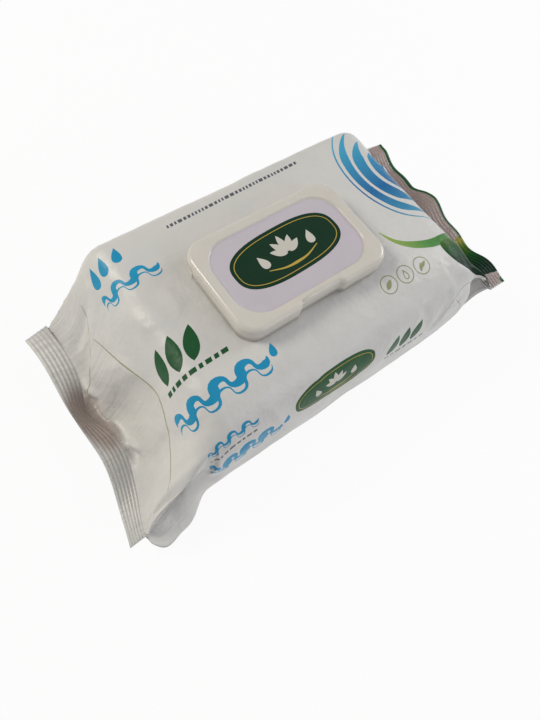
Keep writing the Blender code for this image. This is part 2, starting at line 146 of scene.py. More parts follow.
def rounded(points, cuts, height):
    """Closed section with its six corners rounded off, as arrays of y and share of height."""
    loop = []
    for i, (point, cut) in enumerate(zip(points, cuts)):
        before, after = points[i - 1], points[(i + 1) % 6]
        a = point + (before - point).normalized() * cut[0]
        b = point + (after - point).normalized() * cut[1]
        for k in range(CORNER_STEPS[i] + 1):
            f = k / CORNER_STEPS[i]
            loop.append(a * (1 - f) ** 2 + point * 2 * f * (1 - f) + b * f ** 2)
        end = after + (point - after).normalized() * cuts[(i + 1) % 6][0]
        loop += [b.lerp(end, k / DIVISIONS[i]) for k in range(1, DIVISIONS[i])]
    # Start at the middle of the underside, go over the front and the top, and come back there.
    first = sum(CORNER_STEPS[:5]) + sum(DIVISIONS[:4]) + DIVISIONS[4] // 2
    loop = loop[first:] + loop[:first + 1]
    return np.array([p.x for p in loop]), np.array([p.y / height for p in loop])


def tube_section(side, f):
    end = ENDS[side]
    height = mix(FILM_TOP, SEAL_THICK, f)
    full_tuck = FILM_TOP / 2 * math.sqrt(max(0.0, 1 - (height / FILM_TOP) ** 2))
    top = mix(BODY_HALF, SEAL_HALF, smooth(f))
    sides = []
    for front in (0, 1):
        bottom = top + end["flare"][front] * math.sin(math.pi * f ** 2.8)
        tuck = full_tuck * end["tuck"][front] * smooth(f / end["tuck_run"][front])
        sides.append((mix(top, bottom, 0.5) + BULGE * (1 - smooth(f / 0.35)) - tuck, bottom, tuck))
    (fold_b, bottom_b, tuck_b), (fold_f, bottom_f, tuck_f) = sides
    tight = 2.5 * MM  # how far the corners are rounded at the seal
    corner = mix(CORNER_CUT, tight, smooth(f * 1.3))
    bend = mix(20 * MM, 2 * MM, smooth(f * 3))
    crisp = smooth(f * 2)
    roll = mix(FRONT_ROLL, tight, crisp)
    fall = min(mix(FRONT_DROP, tight, crisp), 0.76 * (height / 2 + tuck_f))
    lean = BACK_LEAN * (1 - smooth(f * 1.3))
    arm_f, arm_b = 0.4 * (height / 2 + tuck_f), 0.4 * (height / 2 + tuck_b)
    points = [Vector((-fold_f, height / 2)), Vector((-top, height)), Vector((top + lean, height)),
              Vector((fold_b, height / 2)), Vector((bottom_b, 0)), Vector((-bottom_f, 0))]
    corner_b, corner_f, bend_b = min(corner, arm_b), min(corner, arm_f), min(bend, arm_b)
    cuts = [(min(bend, arm_f), min(bend, 0.45 * arm_f)), (fall, roll), (corner_b, corner_b),
            (bend_b, bend_b), (corner_b, corner_b), (corner_f, corner_f)]
    return rounded(points, cuts, height)


def tube_points(x, side, f):
    y, share = tube_section(side, f)
    start = STACK_LENGTH / 2 + side * STACK_SHIFT
    inner_x, inner_z = seal_line(side, y)[:2]
    slope_end = np.abs(inner_x) - start
    x = side * mix(start, np.abs(inner_x), f) if f > 0 else np.full_like(y, x)
    # The film falls along a soft shoulder, then straight to the seal.
    def ramp(q):
        return np.where(q <= -SHOULDER, 0.0, np.where(q >= SHOULDER, q, (q + SHOULDER) ** 2 / (4 * SHOULDER)))
    gone = ramp(side * x - start - 2 * MM) / ramp(slope_end - 2 * MM)
    top = mix(top_height(x, y), inner_z + SEAL_THICK / 2, gone)
    bottom = mix(0.0, inner_z - SEAL_THICK / 2, gone ** 1.25)
    if f > 0:
        away = y / SEAL_HALF - ENDS[side]["dip_centre"]
        dip = ENDS[side]["dip"] * math.sin(math.pi * f ** 2.4)
        top = top - dip * bell(away, ENDS[side]["dip_width"])
    top = top + fold_height(x, y) * (1 if f < 0.8 else (1 - f) / 0.2)
    return np.stack([x, y, mix(bottom, np.maximum(top, bottom + SEAL_THICK / 2), share)], axis=1)


def seal_points(side, w):
    """Section of the crimped strip at share w of its width. Beyond 1 it closes on its middle."""
    tip = SEAL_HALF + SEAL_THICK / 4
    points = [Vector(p) for p in ((-tip, SEAL_THICK / 2), (-SEAL_HALF, SEAL_THICK), (SEAL_HALF, SEAL_THICK),
                                  (tip, SEAL_THICK / 2), (SEAL_HALF, 0), (-SEAL_HALF, 0))]
    y, share = rounded(points, [(0.35 * SEAL_THICK / 2,) * 2] * 6, SEAL_THICK)
    inner_x, inner_z, run, climb = seal_line(side, y)
    phase = w * RIBS % 1.0
    rib = RIB_HEIGHT * (0.5 - abs(2 * phase - 1)) * min(1.0, 12 * w, 12 * max(0.0, 1 - w))
    flat = 1.0 if w <= 1 else 0.0
    z = inner_z + climb * w * SEAL_WIDTH + (share - 0.5) * SEAL_THICK * flat + rib * flat
    return np.stack([inner_x + run * w * SEAL_WIDTH, y, z], axis=1)


def measured(points, v):
    """A section resampled at flat distances from the top's middle. The side's film takes what is left."""
    arc = np.concatenate([[0], np.cumsum(np.linalg.norm(np.diff(points, axis=0), axis=1))])
    corner = DIVISIONS[4] // 2 + CORNER_STEPS[5] // 2
    upper = slice(corner + DIVISIONS[5] + 4, -corner - DIVISIONS[3] - 4)
    arc -= np.interp(0.0, points[upper, 1], arc[upper])
    known = [-GIRTH_HALF, -UNDER_EDGE, -TOP_EDGE, TOP_EDGE, UNDER_EDGE, GIRTH_HALF]
    front, back = arc[corner], arc[-1 - corner]
    at = [arc[0], front, max(-TOP_EDGE, front), min(TOP_EDGE, back), back, arc[-1]]
    place_at = np.interp(v, known, at)
    return np.stack([np.interp(place_at, arc, points[:, k]) for k in range(3)], axis=1)


def film_table():
    """Points of the film on a net of flat coordinates: u of the rows, v of the columns, points and normals."""
    rows = []
    for side in (-1, 1):
        start = STACK_LENGTH / 2 + side * STACK_SHIFT
        run = SEAL_START - start
        rows += [(side * (PACK_HALF - SEAL_WIDTH * (1 - w)), seal_points(side, w))
                 for w in [k / 48 for k in range(49)] + [1.02]]
        rows += [(side * (start + f * run), tube_points(side * start, side, f))
                 for f in [k / 50 for k in range(50)] + [0.987]]
    rows += [(x, tube_points(x, 1 if x > STACK_SHIFT else -1, 0.0))
             for x in np.linspace(STACK_LEFT, STACK_RIGHT, 62)[1:-1]]
    rows.sort(key=lambda row: row[0])
    u = np.array([row[0] for row in rows])
    v = np.concatenate([np.linspace(-GIRTH_HALF, -UNDER_EDGE, 20)[:-1],
                        np.linspace(-UNDER_EDGE, UNDER_EDGE, 253),
                        np.linspace(UNDER_EDGE, GIRTH_HALF, 20)[1:]])
    net = np.stack([measured(points, v) for _, points in rows])
    normal = np.cross(np.gradient(net, axis=0), np.gradient(net, axis=1))
    length = np.linalg.norm(normal, axis=2, keepdims=True)
    normal = np.where(length > 1e-12, normal / np.maximum(length, 1e-12), (0, 0, 1.0))
    return u, v, net, normal


U, V, NET, NORMAL = film_table()


def on_film(table, u, v):
    """Points of a table at flat coordinates in metres."""
    i = np.interp(u, U, np.arange(len(U)))
    j = np.interp(v, V, np.arange(len(V)))
    i0, j0 = np.minimum(i.astype(int), len(U) - 2), np.minimum(j.astype(int), len(V) - 2)
    a, b = (i - i0)[:, None], (j - j0)[:, None]
    return ((table[i0, j0] * (1 - b) + table[i0, j0 + 1] * b) * (1 - a)
            + (table[i0 + 1, j0] * (1 - b) + table[i0 + 1, j0 + 1] * b) * a)


# Creases that the film has taken: flat points (u, v) that each runs through, height and half width, in mm
CREASES = [
    ([(-87, 45), (-96, 43), (-104, 41), (-112, 33)], -1.8, 7.0),
    ([(-80, 52), (-82, 44), (-79, 30)], 0.8, 5.0),
    ([(-112, 30), (-106, 22), (-101, 12)], 1.6, 4.0),
    ([(-101, 12), (-104, 4), (-107, -4), (-108, -12)], 1.8, 5.0),
    ([(-108, -14), (-103, -20), (-101, -25)], 1.9, 4.0),
    ([(-108, -16), (-106, -24), (-102, -28)], -1.6, 4.5),
    ([(-108, -44), (-98, -34), (-86, -30)], -1.2, 6.0),
    ([(-77, 26), (-73, 8), (-61, 3)], 0.9, 7.0),
    ([(-61, 3), (-56, 9), (-57, 20)], 1.0, 6.0),
    ([(-98, 22), (-88, 10), (-84, -8)], 1.0, 8.0),
    ([(-108, -52), (-96, -52.5), (-84, -52), (-75, -50)], 1.4, 3.0),
    ([(-89, -54), (-91, -78), (-92, -104)], 1.6, 5.0),
    ([(-76, -52), (-80, -66), (-88, -84)], -1.8, 5.0),
    ([(-74, -52), (-77, -70), (-80, -88)], 1.2, 4.0),
    ([(-104, -60), (-100, -80), (-98, -104)], -1.4, 5.0),
    ([(-26, -36), (-22, -52), (-14, -74)], 0.5, 5.0),
    ([(-50, -46), (-44, -62), (-38, -84)], 0.5, 5.0),
    ([(8, -34), (20, -48), (26, -74)], 0.55, 5.0),
    ([(34, -38), (46, -50), (50, -72)], -0.6, 5.0),
    ([(66, -36), (67, -50), (75, -66)], 0.9, 4.5),
    ([(66, -52), (58, -68), (52, -80)], -0.8, 4.5),
    ([(75, -44), (84, -52), (96, -56)], 1.0, 4.0),
    ([(98, -20), (90, -30), (80, -34)], 1.2, 5.0),
    ([(100, 40), (92, 30), (84, 24)], 1.0, 5.0),
    ([(-20, 52), (0, 50), (24, 52)], 0.35, 5.0),
    ([(-44, 42), (-40, 36), (-46, 28)], 0.4, 5.0),
]


# Sunk facets with a crisp edge: outline in flat mm, depth and how far from the edge it is reached.
FACETS = [
    ([(-115, 29), (-108.5, 23), (-101.5, 13), (-103, 3), (-106, -5), (-108, -12), (-115, -16)], 3.2, 2.2),
    ([(-94, 40), (-104, 37), (-110, 35), (-110, 27), (-105, 24), (-99, 31)], 1.5, 2.0),
    ([(-110, -14), (-106, -17), (-100, -26), (-106, -24), (-110, -21)], 2.4, 1.2),
    ([(-108, -54), (-92, -54), (-78, -53), (-84, -80), (-92, -100), (-104, -90)], 0.9, 1.5),
    ([(-100, 4), (-94, 10), (-86, 2), (-84, -16), (-92, -22), (-99, -10)], 1.2, 3.2),
    ([(66, -37), (74, -46), (90, -52), (80, -62), (70, -66), (66, -52)], 1.1, 2.5),
    ([(96, 46), (84, 40), (80, 28), (92, 22), (100, 30)], 1.2, 3.0),
    ([(100, 6), (90, 0), (88, -12), (98, -18), (104, -6)], 1.2, 3.0),
]


def facet_depth(flat):
    """How far the facets sink the film at flat points in mm."""
    depth = np.zeros(len(flat))
    for outline, sink, reach in FACETS:
        outline = np.array(outline, float)
        inner = np.nonzero(inside(flat, outline))[0]
        away = np.full(len(inner), 1e9)
        for a, b in zip(outline, np.roll(outline, -1, axis=0)):
            away = np.minimum(away, segment_distance(flat[inner], a, b)[0])
        depth[inner] = np.maximum(depth[inner], sink * (1 - np.exp(-away / reach)))
    return depth


def segment_distance(points, a, b):
    along = b - a
    f = np.clip((points - a) @ along / (along @ along), 0, 1)
    return np.linalg.norm(points - a - f[:, None] * along, axis=1), f


def relief(points):
    """Height of the creases over the smooth film."""
    height = np.zeros(len(points))
    for path, rise, width in CREASES:
        line = on_film(NET, *(np.array(path, float).T * MM))
        for k, (a, b) in enumerate(zip(line, line[1:])):
            away, f = segment_distance(points, a, b)
            taper = np.sin(math.pi * np.clip((k + f) / (len(line) - 1), 0.02, 0.98)) ** 0.6
            here = rise * MM * np.maximum(0, 1 - away / (width * MM)) ** 1.7 * taper
            height = np.where(np.abs(here) > np.abs(height), here, height)
    return height


def crinkle(points):
    """Slow undulation and sharp-edged fine crinkles, for each point in turn."""
    total = np.empty(len(points))
    for n, p in enumerate(points):
        q = Vector(p)
        end = min(1.0, max(0.0, (abs(p[0] - STACK_SHIFT) - 0.068) / 0.02))
        side = min(1.0, max(0.0, (abs(p[1]) - 0.048) / 0.006))
        slow = noise.noise(q * 38) * 1.1 + noise.noise(q * 90 + Vector((7, 3, 1))) * 0.45
        warp = Vector((noise.noise(q * 60), noise.noise(q * 60 + Vector((9, 9, 9))), 0)) * 0.6
        fine = noise.noise(q * 130 + warp) * 0.5 + noise.noise(q * 260) * 0.2
        loose = max(end, 0.5 * side)
        total[n] = (slow * mix(0.28, 0.62, loose) - fine * mix(0.08, 0.3, loose)) * MM
    return total


def end_waves(points, u):
    """Shift of the two loose ends, which wave, and of the folded corners under them."""
    _, y, z = points.T
    shift = np.zeros_like(points)
    reach = np.abs(u)
    on_right, on_left = u > 0, u < 0
    out = smooth((reach - 0.084) / 0.028)
    right, left = out * on_right, out * on_left
    front, low = smooth((-0.012 - y) / 0.035), smooth(1 - z / 0.034)
    # The right seal is pushed out in its middle and waves. The underside behind it is lifted.
    push = smooth((0.022 - y) / 0.009) * (1 - smooth((-0.004 - y) / 0.04))
    short_of_corner = smooth((0.056 - np.abs(y)) / 0.01)
    shift[:, 0] += right * (3.2 * push + 0.5 * np.sin(y / 0.0042)) * MM
    shift[:, 2] += right * (2.3 * np.sin(y / 0.0085 + 0.8) + 0.8 * np.sin(y / 0.0036)) * MM * short_of_corner
    shift[:, 2] += on_right * 4.5 * MM * low * front * bell(u - 0.093, 0.015)
    # The left seal spreads outwards and waves, and is pulled out towards the front.
    spread = 5.0 * bell(y - 0.011, 0.030) + 3.0 * smooth((-0.015 - y) / 0.03)
    pull = np.where(reach > SEAL_START, (PACK_HALF - reach) / SEAL_WIDTH,
                    smooth((reach - 0.080) / (SEAL_START - 0.080)))
    shift[:, 0] -= left * spread * MM
    shift[:, 0] -= on_left * 4.2 * MM * np.clip(pull, 0, 1) * smooth((-0.018 - y) / 0.035)
    shift[:, 1] -= 1.5 * MM * left * front
    shift[:, 2] += left * (1.2 * np.sin(y / 0.0105 + 2.0) + 0.4 * np.sin(y / 0.0045)) * MM
    # The folded corner under it is drawn out to a tongue.
    corner = on_left * front * low
    tongue = corner * smooth((reach - 0.097) / 0.008) * smooth((0.1095 - reach) / 0.0025)
    shift[:, 0] -= 2.0 * MM * tongue
    shift[:, 1] -= 4.2 * MM * tongue + 4.4 * MM * corner * bell(reach - 0.0915, 0.0065)
    return shift


# Outlines of the print, in mm of flat film

def spline(points, closed=False, steps=6):
    """Smooth line through points."""
    p = [np.array(q, float) for q in points]
    count = len(p)
    out = []
    for k in range(count if closed else count - 1):
        a, b, c, d = ((p[(k + j) % count] for j in (-1, 0, 1, 2)) if closed else
                      (p[max(0, k - 1)], p[k], p[k + 1], p[min(count - 1, k + 2)]))
        for s in range(steps):
            t = s / steps
            out.append(0.5 * (2 * b + (c - a) * t + (2 * a - 5 * b + 4 * c - d) * t * t
                              + (3 * b - 3 * c + d - a) * t ** 3))
    if not closed:
        out.append(p[-1])
    return np.array(out)


def ribbon(line, widths):
    """Closed outline round a line. Widths are shared out evenly along it."""
    line = np.asarray(line, float)
    tangent = np.gradient(line, axis=0)
    tangent /= np.linalg.norm(tangent, axis=1, keepdims=True)
    across = np.stack([-tangent[:, 1], tangent[:, 0]], axis=1)
    half = np.interp(np.linspace(0, 1, len(line)), np.linspace(0, 1, len(widths)), widths)[:, None] / 2
    return np.concatenate([line + across * half, (line - across * half)[::-1]])


def turned(outline, centre, angle):
    c, s = math.cos(math.radians(angle)), math.sin(math.radians(angle))
    return np.asarray(outline) @ np.array([[c, s], [-s, c]]) + centre


def oval(centre, length, width, angle=0, power=2.0, count=36):
    t = np.linspace(0, 2 * math.pi, count, endpoint=False)
    shape = np.stack([np.sign(np.cos(t)) * np.abs(np.cos(t)) ** (2 / power) * length / 2,
                      np.sign(np.sin(t)) * np.abs(np.sin(t)) ** (2 / power) * width / 2], axis=1)
    return turned(shape, centre, angle)


def drop(centre, height, angle=0):
    """Drop with its point up."""
    t = np.linspace(0, 2 * math.pi, 22, endpoint=False)
    shape = np.stack([np.sin(t) * np.sin(t / 2) ** 1.4 * 0.40, np.cos(t) * 0.5], axis=1) * height
    return turned(shape, centre, angle)


def leaf(centre, length, width, angle):
    t = np.linspace(-1, 1, 12)
    half = width / 2 * (1 - t * t) ** 0.9
    top = np.stack([t * length / 2, half * (1 - 0.25 * t)], axis=1)
    low = np.stack([t * length / 2, -half * (1 - 0.25 * t)], axis=1)[::-1][1:-1]
    return turned(np.concatenate([top, low]), centre, angle)


def wave(x0, x1, y, rise, periods, thick, slant=0.0):
    """Row of waves with a thinner one under it."""
    t = np.linspace(0, 1, int(periods * 16) + 1)
    phase = t * periods * 2 * math.pi
    ends = np.clip(np.minimum(t, 1 - t) * periods * 5, 0.1, 1)
    shapes = []
    for drop_by, share in ((0.0, 1.0), (-0.95 * thick, 0.32)):
        line = np.stack([mix(x0, x1, t) - 0.3 * rise * np.sin(2 * phase), y + drop_by + slant * t
                         + rise * np.sin(phase)], axis=1)
        shapes.append(ribbon(line, thick * share * (0.75 + 0.35 * np.cos(phase)) * ends))
    return shapes


def emblem(centre, length, width, angle, ground="label_green"):
    """Plain rounded label with a thin gold line, leaves and a wave."""
    shapes = [(ground, oval((0, 0), length, width, 0, 2.7, 56)),
              ("gold", oval((0, 0), length - 3.4, width - 3.4, 0, 2.7, 52)),
              (ground, oval((0, 0), length - 4.1, width - 4.1, 0, 2.7, 52))]
    size = width / 28
    for k, lean in enumerate((-58, -30, 0, 30, 58)):
        reach = (9.0, 9.8, 10.6, 9.8, 9.0)[k] * size
        away = math.radians(90 - lean)
        middle = (math.cos(away) * reach * 0.62, -2.6 * size + math.sin(away) * reach * 0.62)
        shapes.append(("cream", leaf(middle, reach, 3.7 * size, 90 - lean)))
    for k in (-1, 1):
        shapes.append(("cream", drop((k * 14.5 * size, 0.2 * size), 8.2 * size, -k * 14)))
    line = ((-15, -5.2), (-7, -7.9), (0, -8.4), (7, -7.9), (15, -5.2))
    swing = spline([(x * size, y * size) for x, y in line])
    shapes.append(("gold", ribbon(swing, (0.3, 1.5 * size, 0.3))))
    return [(ink, turned(outline, centre, angle)) for ink, outline in shapes]


def dashes(start, end, sizes, height, slant=0.0):
    """A row of short bars."""
    start, end = np.array(start, float), np.array(end, float)
    total = sum(sizes) + 0.45 * height * (len(sizes) - 1)
    reach = np.linalg.norm(end - start)
    angle = math.degrees(math.atan2(*(end - start)[::-1]))
    at, shapes = 0.0, []
    for size in sizes:
        long = size / total * reach
        x, y, lean = long / 2, height / 2, slant * height
        bar = np.array([(-x, -y), (x, -y), (x + lean, y), (-x + lean, y)])
        middle = start + (end - start) * ((at + long / 2) / reach)
        shapes.append(turned(bar, middle, angle))
        at += long + 0.45 * height / total * reach
    return shapes


INKS = ["film", "blue", "green", "label_green", "gold", "cream", "grey", "olive", "ripple", "leaf_green",
        "dark_green", "mauve"]
RIGHT_EDGE = 121.6  # just past the edge of the right seal


def inked(ink, outlines):
    return [(ink, np.asarray(outline, float)) for outline in outlines]


def leaves(places, length, width):
    return inked("green", [leaf((x, y), length, width, lean) for x, y, lean in places])


def top_and_face_print():
    """Ink and outline of the print that keeps its size along the film: u is measured along it."""
    # Back left of the top: drops over a row of waves, and a fine line of bars along the back edge
    shapes = inked("blue", [drop((-82 + 8.4 * k, 44.5 + 0.6 * k), height, -14)
                            for k, height in enumerate((11.5, 10.0, 8.5))])
    shapes += inked("blue", wave(-88, -52, 32, 2.3, 3, 3.4))
    random.seed(4)
    sizes = [random.choice((0.9, 1.3, 2.0)) for _ in range(34)]
    shapes += inked("grey", dashes((-38, 47), (40, 49), sizes, 1.8, 0.15))
    # Front left of the top: leaves, a row of bars and a long row of waves
    shapes += leaves(((-79, -9.5, 66), (-70, -9, 74), (-61, -9, 66)), 17, 7.0)
    shapes += inked("green", dashes((-86, -20.5), (-50, -20), [2.4, 1.4, 2.4, 1.8, 2.6, 1.4, 2.2, 1.6, 2.4],
                                    2.2, 0.2))
    shapes += inked("blue", wave(-92, -38, -33, 2.8, 4, 4.4, 1.5) + [drop((-34, -30.5), 6.5, -14)])
    # Front face: two rows of waves with bars between them, a label, and leaves over a row of bars
    shapes += inked("blue", wave(-84, -54, -53, 1.5, 4, 1.9, 0.3))
    shapes += inked("grey", dashes((-83, -59.5), (-56, -59), [1.2, 2.0, 0.9, 1.4, 2.0, 1.2, 0.9, 1.6, 1.2],
                                   1.3, 0.2))
    shapes += inked("blue", wave(-83, -43.5, -71.5, 3.8, 4, 5.2, 2.4) + [drop((-39.8, -67.5), 6.5, -14)])
    shapes += emblem((-11, -62.8), 48, 21, 2, "green")
    shapes += leaves(((26, -66.5, 66), (34, -66, 74), (42, -66, 66)), 15, 6.4)
    shapes += inked("green", dashes((22, -77.5), (49, -77), [2.0, 1.4, 2.4, 1.6, 2.2, 1.4, 2.0], 2.0, 0.2))
    # Back face: two blocks of fine bars, the last row of each shorter, with leaves and drops between them
    for row in range(7):
        bars, length = (15, 46) if row < 6 else (8, 24)
        for left in (-66, 12):
            sizes = [random.choice((1.2, 2.0, 2.8, 3.6)) for _ in range(bars)]
            shapes += inked("grey", dashes((left, 70 + 4.2 * row), (left + length, 70 + 4.2 * row), sizes, 1.3))
    shapes += leaves([(-13 + 8 * k, 74, lean) for k, lean in enumerate((114, 106, 114))], 15, 6.4)
    shapes += inked("blue", [drop((-14 + 9 * k, 92), 9.5, 180) for k in range(3)])
    return shapes


def end_print():
    """Ink and outline of the print that lies over the ends, and of painted shade on the right seal: u is that
    of the net.
    """
    # Right end of the top: ripples spreading from the corner, a green band, a mauve patch that holds painted
    # shade and the field over the seal
    centre = np.array((92.0, 24.0))
    shapes = []
    for reach, thick in ((35, 1.0), (30, 5.0), (22.5, 6.5), (13, 8.0)):
        angles = np.radians(np.linspace(118, 262, 30) if reach > 20 else np.linspace(100, 275, 24))
        line = centre + reach * np.stack([np.cos(angles), 1.12 * np.sin(angles)], axis=1)
        shapes += inked("ripple", [ribbon(line, (0.4, thick, thick, thick, 0.4))])
    band = spline([(48, -8), (52, -16), (60, -22.5), (72, -26.5), (86, -26), (99, -22)])
    shapes += inked("leaf_green", [ribbon(band, (0.4, 2.2, 4.2, 5.0, 5.5, 7.0))])
    # Mauve tint with painted shade over the right seal and its slope
    shapes += inked("mauve", [[(104, -26), (106, 10), (107.5, 56.5), (RIGHT_EDGE, 56.5), (RIGHT_EDGE, -21),
                               (113, -23)]])
    shapes += inked("dark_green", [spline([(72.5, -28.5), (84, -28), (96, -26), (108, -24), (RIGHT_EDGE, -21),
                                           (RIGHT_EDGE, -50), (112, -58), (100, -60), (88, -51.5), (75.5, -41)],
                                          closed=True)])
    # Edge of the right seal, all round, and its front tip
    shapes += inked("green", [[(119.6, -21), (RIGHT_EDGE, -21), (RIGHT_EDGE, 56), (118.4, 56), (118.6, 30),
                               (119.4, 12)]])
    # Mauve tint with painted shade at the front tip
    shapes += inked("mauve", [[(109, -47.5), (RIGHT_EDGE, -50), (RIGHT_EDGE, -57), (109, -60)]])
    shapes += inked("green", [[(118, -54), (RIGHT_EDGE, -53), (RIGHT_EDGE, -57), (118.5, -57)]])
    shapes += inked("green", [[(118.6, side * 57), (RIGHT_EDGE, side * 57), (RIGHT_EDGE, side * 181),
                               (118.6, side * 181)]
                              for side in (-1, 1)])
    # Three small rings in front of the lid
    for x, y in ((33.0, -33.2), (44.0, -32.9), (55.0, -33.2)):
        shapes += inked("olive", [oval((x, y), 9.6, 9.6)]) + inked("film", [oval((x, y), 8.5, 8.5)])
    shapes += inked("olive", [drop((44, -32.9), 5.6)]) + inked("film", [drop((44, -33.3), 3.6)])
    shapes += inked("olive", [leaf((33, -33.2), 6.0, 2.6, 40), leaf((54.2, -33.6), 5.0, 1.8, 60),
                              leaf((56.2, -33.0), 5.0, 1.8, 30)])
    # Thin arcs on the ends
    arcs = [((-91, 48), (-94.5, 40), (-98.9, 33.9), (-104.8, 18.5), (-112.9, 5.8)),
            ((-94.6, 34.1), (-90.5, 20), (-86.8, 7.5), (-84.6, -8), (-85.2, -20), (-88, -30),
             (-92, -42), (-96, -53)),
            ((55, -84), (59, -74), (64, -64), (72, -56), (86, -54), (100, -55)),
            ((69, -60), (75, -70), (79, -84))]
    return shapes + inked("olive", [ribbon(spline(line), (0.2, 0.38, 0.38, 0.2)) for line in arcs])


def film_print():
    """List of ink and outline, with u of the net. A later shape lies over an earlier one."""
    top = NET[:, 120:170]  # columns near the middle of the top
    length = np.concatenate([[0], np.cumsum(np.linalg.norm(np.diff(top, axis=0), axis=2).mean(1))])
    length = (length - np.interp(0, U, length)) * 1000
    return [(ink, np.column_stack([np.interp(outline[:, 0], length, U * 1000), outline[:, 1]]))
            for ink, outline in top_and_face_print()] + end_print()


def inside(points, outline):
    """Whether points lie in a closed outline."""
    found = np.zeros(len(points), bool)
    low, high = outline.min(0), outline.max(0)
    near = np.nonzero(np.all((points >= low) & (points <= high), axis=1))[0]
    x, y = points[near].T
    hit = np.zeros(len(near), bool)
    for (x0, y0), (x1, y1) in zip(outline, np.roll(outline, -1, axis=0)):
        if y0 != y1:
            hit ^= ((y0 > y) != (y1 > y)) & (x < (x1 - x0) * (y - y0) / (y1 - y0) + x0)
    found[near] = hit
    return found


def stepped(outline, step=1.5):
    """The outline with its long edges cut up, so that the net follows the film along them."""
    points = []
    for a, b in zip(outline, np.roll(outline, -1, axis=0)):
        count = max(1, math.ceil(np.linalg.norm(b - a) / step))
        points += [mix(a, b, k / count) for k in range(count)]
    return np.array(points)


def inked_net(lines_u, lines_v, shapes, holes=(), keep=None):
    """Triangle net on grid lines that also follows every outline: points, faces and the ink of each face."""
    grid = np.stack(np.meshgrid(lines_u, lines_v, indexing="ij"), axis=-1).reshape(-1, 2)
    low, high = grid.min(0) + 0.05, grid.max(0) - 0.05
    shapes = [(name, stepped(np.clip(outline, low, high))) for name, outline in shapes]
    outlines = [outline for _, outline in shapes] + list(holes) + ([keep] if keep is not None else [])
    if keep is not None:
        grid = grid[inside(grid, keep)]
    for outline in outlines:
        low, high = outline.min(0) - 1, outline.max(0) + 1
        near = np.nonzero(np.all((grid > low) & (grid < high), axis=1))[0]
        if len(near):
            ends = np.roll(outline, -1, axis=0)
            along = ends - outline
            away = grid[near][:, None] - outline[None]
            f = np.clip((away * along).sum(-1) / np.maximum((along * along).sum(-1), 1e-9), 0, 1)
            gap = np.linalg.norm(away - f[..., None] * along, axis=-1).min(1)
            grid = np.delete(grid, near[gap < 0.4], axis=0)
    points = [Vector(p) for p in grid]
    edges = []
    for outline in outlines:
        first = len(points)
        points += [Vector(p) for p in outline]
        edges += [(first + k, first + (k + 1) % len(outline)) for k in range(len(outline))]
    verts, _, faces, *_ = delaunay_2d_cdt(points, edges, [], 0, 1e-5)
    verts = np.array([tuple(p) for p in verts])
    faces = np.array([f for f in faces if len(f) == 3])
    middle = verts[faces].mean(1)
    ink = np.zeros(len(faces), int)
    for name, outline in shapes:
        ink[inside(middle, outline)] = INKS.index(name)
    gone = np.zeros(len(faces), bool)
    for outline in holes:
        gone |= inside(middle, outline)
    if keep is not None:
        gone |= ~inside(middle, keep)
    return verts, faces[~gone], ink[~gone]


def add_mesh(name, points, faces, uv=None, ink=None, materials=()):
    mesh = bpy.data.meshes.new(name)
    mesh.from_pydata([tuple(p) for p in points], [], [tuple(int(i) for i in f) for f in faces])
    if uv is not None:
        layer = mesh.uv_layers.new(name="flat")
        index = np.empty(len(mesh.loops), np.int32)
        mesh.loops.foreach_get("vertex_index", index)
        layer.data.foreach_set("uv", np.asarray(uv, np.float32)[index].ravel())
    for mat in materials:
        mesh.materials.append(mat)
    if ink is not None:
        mesh.polygons.foreach_set("material_index", np.asarray(ink, np.int32))
    mesh.update()
    mesh.shade_smooth()
    obj = bpy.data.objects.new(name, mesh)
    bpy.context.scene.collection.objects.link(obj)
    return obj


# Lid outlines, in metres

def rounded_rectangle(length, width, corner, notch=0.0, steps=14):
    loop = []
    back = HINGE_Y - LAND_LENGTH - LID_Y
    for sx, sy, turn in ((-1, -1, 180), (1, -1, 270), (1, 1, 0), (-1, 1, 90)):
        for k in range(steps + 1):
            angle = math.radians(turn + 90 * k / steps)
            loop.append((sx * (length / 2 - corner) + corner * math.cos(angle),
                         sy * (width / 2 - corner) + corner * math.sin(angle)))
        if (sx, sy) == (-1, -1):
            reach = min(NOTCH_LENGTH, 1.5 * (length / 2 - corner))
            for share in np.concatenate([[-0.62], np.linspace(-0.5, -0.38, 8), [-0.2, 0, 0.2],
                                         np.linspace(0.38, 0.5, 8), [0.62]]):
                depth = notch * smooth((0.5 - abs(share)) / 0.12)
                loop.append((share * reach, -width / 2 + depth))
        if (sx, sy) == (1, -1):
            loop += [(length / 2, min(back - 0.0001, width / 2 - corner - 0.0004)),
                     (length / 2, min(back + 0.0001, width / 2 - corner - 0.0002))]
        if (sx, sy) == (-1, 1):
            loop += [(-length / 2, min(back + 0.0001, width / 2 - corner - 0.0002)),
                     (-length / 2, min(back - 0.0001, width / 2 - corner - 0.0004))]
    return np.array(loop) + (LID_X, LID_Y)


def stadium(length, width):
    return rounded_rectangle(length, width, width / 2 - 0.05 * MM)


def lid_outline(inset, corner=None, notch=NOTCH_DEPTH):
    corner = max(LID_CORNER - inset, MM) if corner is None else corner
    return rounded_rectangle(LID_LENGTH - 2 * inset, LID_WIDTH - 2 * inset, corner, notch)


def skin(rings):
    """Points and quads of a skin over equal closed rings of 3D points."""
    count = len(rings[0])
    faces = []
    for ring in range(0, (len(rings) - 1) * count, count):
        for k in range(count):
            after = (k + 1) % count
            faces.append((ring + k, ring + after, ring + count + after, ring + count + k))
    return np.concatenate(rings), faces


# Materials

def new_material(name):
    mat = bpy.data.materials.new(name)
    mat.use_nodes = True
    tree = mat.node_tree
    return mat, tree, tree.nodes["Principled BSDF"]


def feed(tree, target, values):
    """Gives inputs of a node their values. A socket is linked, anything else is a constant."""
    for key, value in values.items():
        if isinstance(value, bpy.types.NodeSocket):
            tree.links.new(value, target.inputs[key])
        else:
            target.inputs[key].default_value = value


